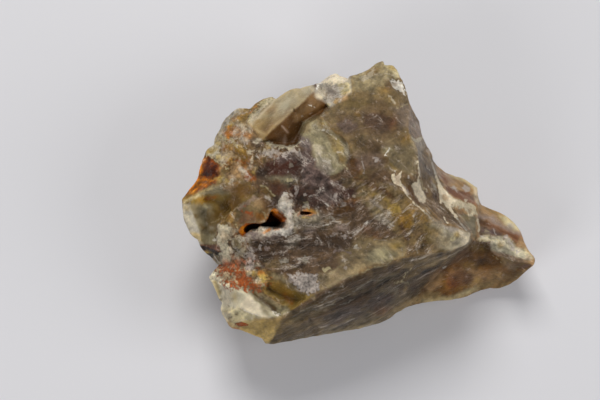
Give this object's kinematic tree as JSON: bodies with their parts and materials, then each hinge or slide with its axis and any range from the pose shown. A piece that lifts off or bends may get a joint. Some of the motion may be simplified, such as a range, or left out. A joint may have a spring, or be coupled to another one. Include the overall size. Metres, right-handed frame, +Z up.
{
  "type": "rough limnosilicite",
  "caption": "Rough broken piece of translucent grey-brown chalcedony with a fibrous display face, a rust-stained cavity and crusted edges, lying on its flat back.",
  "frame": {"origin": "middle of the bounding box's underside, on the flat back that the stone lies on", "axes": "+X along the stone's length towards its pointed lobe, +Y away from the viewer towards the stone's summit, +Z up from the surface that it lies on"},
  "size_m": [0.0722, 0.0574, 0.032],
  "materials": {
    "chalcedony": "freshly broken, waxy to glassy, with matt white, cream and rust-coloured crust"
  },
  "bodies": {
    "root": {"stone": "chalcedony"}
  },
  "joints": []
}
